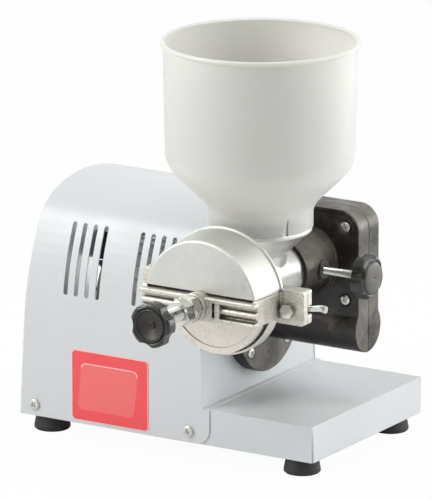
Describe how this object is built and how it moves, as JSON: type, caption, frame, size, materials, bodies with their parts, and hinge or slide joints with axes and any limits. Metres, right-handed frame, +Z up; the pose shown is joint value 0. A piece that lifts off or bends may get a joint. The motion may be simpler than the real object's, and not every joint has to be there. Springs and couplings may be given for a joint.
{
  "type": "electric grain mill",
  "caption": "Electric grain mill: motor cabinet, worm gearbox and cast disc mill head under a plastic hopper, on a sheet tray with rubber feet.",
  "frame": {"origin": "centre of the object's bounding box in X and Y, on the table under the rubber feet", "axes": "+X from the cabinet towards the gearbox side, +Y from the mill's discs towards the back, +Z up"},
  "size_m": [0.3859, 0.4326, 0.4409],
  "materials": {
    "sheet": "satin white powder coat",
    "rubber": "matt",
    "zinc": "bright zinc",
    "label": "gloss",
    "black_plastic": "satin",
    "rocker": "gloss",
    "terminal": "matt",
    "wire": "matt",
    "cap_can": "plain",
    "motor_paint": "satin",
    "cast_bell": "as cast",
    "laminations": "plain",
    "copper": "enamelled copper",
    "steel": "ground",
    "gearbox_black": "satin black",
    "bronze": "machined",
    "cast_alloy": "tumbled casting",
    "rough_alloy": "as cast",
    "grinding_iron": "ground casting",
    "knob_black": "satin black",
    "hopper_plastic": "milky, faintly translucent"
  },
  "bodies": {
    "frame": {"base_tray": "sheet", "bottom_plate": "sheet", "rubber_feet": "rubber", "foot_screws": "zinc", "foot_nuts": "zinc", "cabinet_cover": "sheet", "left_panel": "sheet", "right_panel": "sheet", "cover_screws": "zinc", "label_plate": "label", "switch_frame": "black_plastic", "cord_gland": "black_plastic", "terminal_block": "terminal", "leads": "wire", "capacitor": "cap_can", "capacitor_clip": "zinc", "motor_shell": "motor_paint", "stator_core": "laminations", "stator_windings": "copper", "left_end_bell": "cast_bell", "right_end_bell": "cast_bell", "motor_bearings": "steel", "motor_cradle": "sheet", "cradle_screws": "zinc", "gearbox_flange": "gearbox_black", "flange_screws": "zinc", "gearbox_front": "gearbox_black", "gearbox_back": "gearbox_black", "gearbox_screws": "zinc", "worm_bearings": "steel", "wheel_bearings": "steel", "shaft_seal": "rubber", "mill_body": "cast_alloy", "barrel_bush": "bronze", "fixed_disc": "grinding_iron", "disc_screws": "zinc", "disc_hood": "cast_alloy", "yoke": "rough_alloy", "lug_bolts": "zinc"},
    "motor_rotor": {"rotor_core": "laminations", "motor_shaft": "steel", "cooling_fan": "black_plastic", "worm": "bronze"},
    "mill_shaft": {"worm_wheel": "bronze", "wheel_shaft": "steel", "auger": "grinding_iron", "turning_disc": "cast_alloy"},
    "adjusting_pad": {"thrust_pad": "bronze"},
    "adjusting_knob_body": {"adjusting_screw": "zinc", "adjusting_knob": "knob_black"},
    "lock_nut_body": {"lock_nut": "zinc"},
    "clamp_pad_body": {"clamp_pad": "bronze"},
    "clamp_knob_body": {"clamp_screw": "zinc", "clamp_knob": "knob_black"},
    "wing_nut_left_body": {"wing_nut_left": "zinc"},
    "wing_nut_right_body": {"wing_nut_right": "zinc"},
    "rocker": {"switch_rocker": "rocker"},
    "hopper_body": {"hopper": "hopper_plastic"}
  },
  "joints": [
    {"name": "motor_turn", "type": "hinge", "parent": "frame", "child": "motor_rotor", "pos_m": [-0.0416, 0.0985, 0.131], "axis": [1, 0, 0], "continuous": true},
    {"name": "mill_turn", "type": "hinge", "parent": "frame", "child": "mill_shaft", "pos_m": [0.0929, 0.0985, 0.1985], "axis": [0, 1, 0], "continuous": true},
    {"name": "adjust_travel", "type": "slide", "parent": "frame", "child": "adjusting_pad", "axis": [0, -1, 0], "range_m": [0, 0.006]},
    {"name": "adjust_turn", "type": "hinge", "parent": "adjusting_pad", "child": "adjusting_knob_body", "pos_m": [0.0929, -0.20825, 0.1985], "axis": [0, -1, 0], "range_deg": [0, 1080]},
    {"name": "lock_nut_turn", "type": "hinge", "parent": "frame", "child": "lock_nut_body", "pos_m": [0.0929, -0.15075, 0.1985], "axis": [0, -1, 0], "range_deg": [0, 180]},
    {"name": "clamp_travel", "type": "slide", "parent": "frame", "child": "clamp_pad_body", "axis": [1, 0, 0], "range_m": [0, 0.00375]},
    {"name": "clamp_turn", "type": "hinge", "parent": "clamp_pad_body", "child": "clamp_knob_body", "pos_m": [0.1769, 0.05115, 0.1985], "axis": [1, 0, 0], "range_deg": [0, 1080]},
    {"name": "wing_left_turn", "type": "hinge", "parent": "frame", "child": "wing_nut_left_body", "pos_m": [0.0169, -0.06025, 0.1935], "axis": [0, 1, 0], "range_deg": [0, 180]},
    {"name": "wing_right_turn", "type": "hinge", "parent": "frame", "child": "wing_nut_right_body", "pos_m": [0.1689, -0.06025, 0.1935], "axis": [0, 1, 0], "range_deg": [0, 180]},
    {"name": "rocker_tilt", "type": "hinge", "parent": "frame", "child": "rocker", "pos_m": [-0.17572, 0.1285, 0.20373], "axis": [0, 1, 0], "range_deg": [0, 16]},
    {"name": "hopper_lift", "type": "slide", "parent": "frame", "child": "hopper_body", "axis": [0, 0, 1], "range_m": [0, 0.06]}
  ],
  "couplings": [
    {"joint": "mill_turn", "follows": "motor_turn", "ratio": 0.058824},
    {"joint": "adjust_turn", "follows": "adjust_travel", "rad_per_m": 3141.6},
    {"joint": "clamp_turn", "follows": "clamp_travel", "rad_per_m": 5026.5}
  ]
}
